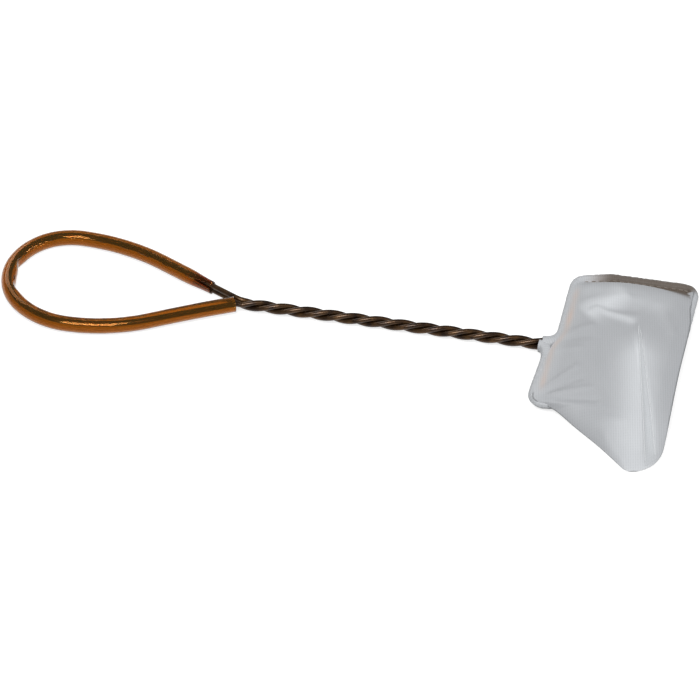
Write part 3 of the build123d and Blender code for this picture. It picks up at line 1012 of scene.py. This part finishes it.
def build_seam():
    """The seam: a second layer of mesh on the bag, held by a line of thread along each of its edges."""
    bm = bmesh.new()
    surface(
        bm,
        TAPE_COLUMNS,
        TAPE_ROWS,
        lambda u, v: on_seam(u, v, TAPE_LIFT),
        lambda u, v: (u * TAPE_WEAVE[0], v * TAPE_WEAVE[1]),
        lambda u, v: (TAPE_DOUBLE, 0.0, 0.0),
    )
    bmesh.ops.recalc_face_normals(bm, faces=bm.faces)
    tape = new_piece("seam_tape", bm, cloth_material("White nylon mesh, seam tape", TAPE_COVER))
    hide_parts("bag_seam")

    curve = bpy.data.curves.new("seam_thread", "CURVE")
    curve.dimensions = "3D"
    curve.bevel_depth = THREAD_RADIUS * MM
    curve.bevel_resolution = 1
    for side in THREAD_SIDES:
        spline = curve.splines.new("POLY")
        spline.points.add(THREAD_STEPS)
        for k, knot in enumerate(spline.points):
            place = THREAD_START + THREAD_SHARE * k / THREAD_STEPS
            knot.co = on_seam(side, place, THREAD_LIFT).to_4d()
    thread = bpy.data.objects.new("seam_thread", curve)
    bpy.context.scene.collection.objects.link(thread)
    dye = bpy.context.scene.fish_net_colours.seam_thread
    curve.materials.append(thread_material("White polyester sewing thread, spun", dye))
    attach(thread, "root")
    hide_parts("seam_stitches")
    return [tape, thread]


class FISHNET_OT_bag(bpy.types.Operator):
    """Makes the mesh bag with its seam tape and seam thread"""

    bl_idname = "fishnet.bag"
    bl_label = "Mesh bag"

    def execute(self, context):
        bag = build_bag()
        sewn_on = build_seam()
        area = BAG_PANEL[0] * BAG_PANEL[1] + 2 * BAG_FLAP[0] * BAG_FLAP[1] + BAG_STRIP[0] * BAG_STRIP[1]
        area *= MM * MM
        return {"FINISHED"}


# Materials on the solids that stay


class FISHNET_OT_solids(bpy.types.Operator):
    """Gives the wire and the hem's sewing thread their materials"""

    bl_idname = "fishnet.solids"
    bl_label = "Wire and thread"

    def execute(self, context):
        dye = context.scene.fish_net_colours.hem_thread
        materials = {
            "frame_wire": wire_material(),
            "casing_stitches": thread_material("Polyester sewing thread, spun, greyed by the hem", dye),
        }
        for node, material in materials.items():
            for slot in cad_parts[node].material_slots:
                slot.material = material
        return {"FINISHED"}


# Stage

WHITE = (1, 1, 1, 1)
# The paper: half its side and how far it lies under the net, in metres, and how brightly it is seen
PAPER_REACH = 3.0
PAPER_DROP = 0.0002
PAPER_GLOW = 0.72
WORLD_STRENGTH = 0.25
# Soft lights: name, place, what each points at, width and height in metres, and power in watts
LIGHTS = (
    ("key", (-0.1, -0.55, 0.9), (0.0, 0, 0), (0.45, 0.45), 9.0),
    ("right", (0.95, -0.15, 0.8), (-0.05, 0, 0), (0.9, 0.25), 8.5),
    ("rim", (-0.6, 0.6, 0.6), (0.02, 0, 0), (0.6, 0.6), 3.0),
)
# Width of the camera's sensor in millimetres, and the nearest that it sees in metres
SENSOR_WIDTH = 36.0
NEAREST = 0.05


def floor_material():
    """White paper sweep, matt: pale enough to print white, with the net's shadow left in it."""
    material, output = new_material("White paper sweep, matt")
    tree = material.node_tree
    rays = add_node(tree, "ShaderNodeLightPath").outputs
    # The glow is seen by the camera, in reflections and through the sleeve, and lights no matt surface.
    seen = rays["Is Camera Ray"]
    for kind in ("Is Glossy Ray", "Is Transmission Ray"):
        either = add_node(tree, "ShaderNodeMath", {0: seen, 1: rays[kind]}, operation="MAXIMUM")
        seen = either.outputs["Value"]
    glow = add_node(tree, "ShaderNodeMath", {0: seen, 1: PAPER_GLOW}, operation="MULTIPLY")
    shader = add_node(
        tree,
        "ShaderNodeBsdfPrincipled",
        {
            "Base Color": bpy.context.scene.fish_net_colours.paper,
            "Roughness": 0.9,
            "Specular IOR Level": 0.0,
            "Emission Color": WHITE,
            "Emission Strength": glow.outputs["Value"],
        },
    )
    tree.links.new(shader.outputs["BSDF"], output.inputs["Surface"])
    return material


def add_light(name, place, target, size, power):
    """A soft light at place that points at target, with its width and height in metres."""
    data = bpy.data.lights.new(name, "AREA")
    data.shape = "RECTANGLE"
    data.size, data.size_y = size
    data.energy = power
    lamp = bpy.data.objects.new(name, data)
    lamp.location = place
    lamp.rotation_euler = (Vector(target) - Vector(place)).to_track_quat("-Z", "Y").to_euler()
    bpy.context.scene.collection.objects.link(lamp)


def add_floor():
    """The sheet of paper that the net lies on."""
    bm = bmesh.new()
    bmesh.ops.create_grid(bm, x_segments=1, y_segments=1, size=PAPER_REACH)
    mesh = bpy.data.meshes.new("floor")
    bm.to_mesh(mesh)
    bm.free()
    mesh.materials.append(floor_material())
    floor = bpy.data.objects.new("floor", mesh)
    floor.location.z = -PAPER_DROP
    bpy.context.scene.collection.objects.link(floor)


def add_camera():
    """The camera of the photograph."""
    scene = bpy.context.scene
    view = scene.fish_net_view
    level = cos(view.rise)
    out = Vector((sin(view.turn) * level, -cos(view.turn) * level, sin(view.rise)))
    data = bpy.data.cameras.new("camera")
    data.lens = view.lens
    data.sensor_width = SENSOR_WIDTH
    data.clip_start = NEAREST
    camera = bpy.data.objects.new("camera", data)
    camera.location = Vector(view.middle) + out * view.away
    camera.rotation_euler = (-out).to_track_quat("-Z", "Y").to_euler()
    scene.collection.objects.link(camera)
    scene.camera = camera


class FISHNET_OT_stage(bpy.types.Operator):
    """Sets the floor, the lights, the world and the camera of the photograph"""

    bl_idname = "fishnet.stage"
    bl_label = "Stage"

    def execute(self, context):
        add_floor()
        world = bpy.data.worlds.new("Studio")
        world.use_nodes = True
        background = world.node_tree.nodes["Background"]
        background.inputs["Color"].default_value = WHITE
        background.inputs["Strength"].default_value = WORLD_STRENGTH
        context.scene.world = world
        for light in LIGHTS:
            add_light(*light)
        add_camera()
        context.scene.view_settings.view_transform = "Standard"
        return {"FINISHED"}


class FISHNET_PT_panel(bpy.types.Panel):
    """Lists the steps that dress the net"""

    bl_label = "Fish net"
    bl_idname = "FISHNET_PT_panel"
    bl_space_type = "VIEW_3D"
    bl_region_type = "UI"
    bl_category = "Fish net"

    def draw(self, context):
        for step in STEPS:
            self.layout.operator(step.bl_idname)


STEPS = (
    FISHNET_OT_solids,
    FISHNET_OT_sleeve,
    FISHNET_OT_casing,
    FISHNET_OT_bag,
    FISHNET_OT_stage,
)
CLASSES = (FishNetSizes, FishNetColours, FishNetView) + STEPS + (FISHNET_PT_panel,)


def register():
    """Registers the classes and gives the scene their properties."""
    for cls in CLASSES:
        bpy.utils.register_class(cls)
    bpy.types.Scene.fish_net_sizes = PointerProperty(type=FishNetSizes)
    bpy.types.Scene.fish_net_colours = PointerProperty(type=FishNetColours)
    bpy.types.Scene.fish_net_view = PointerProperty(type=FishNetView)


def unregister():
    """Takes the properties and the classes away again."""
    del bpy.types.Scene.fish_net_view
    del bpy.types.Scene.fish_net_colours
    del bpy.types.Scene.fish_net_sizes
    for cls in reversed(CLASSES):
        bpy.utils.unregister_class(cls)


def main():
    """Dresses the net step by step."""
    register()
    bpy.ops.fishnet.solids()
    bpy.ops.fishnet.sleeve()
    bpy.ops.fishnet.casing()
    bpy.ops.fishnet.bag()
    bpy.ops.fishnet.stage()


if __name__ == "__main__":
    main()
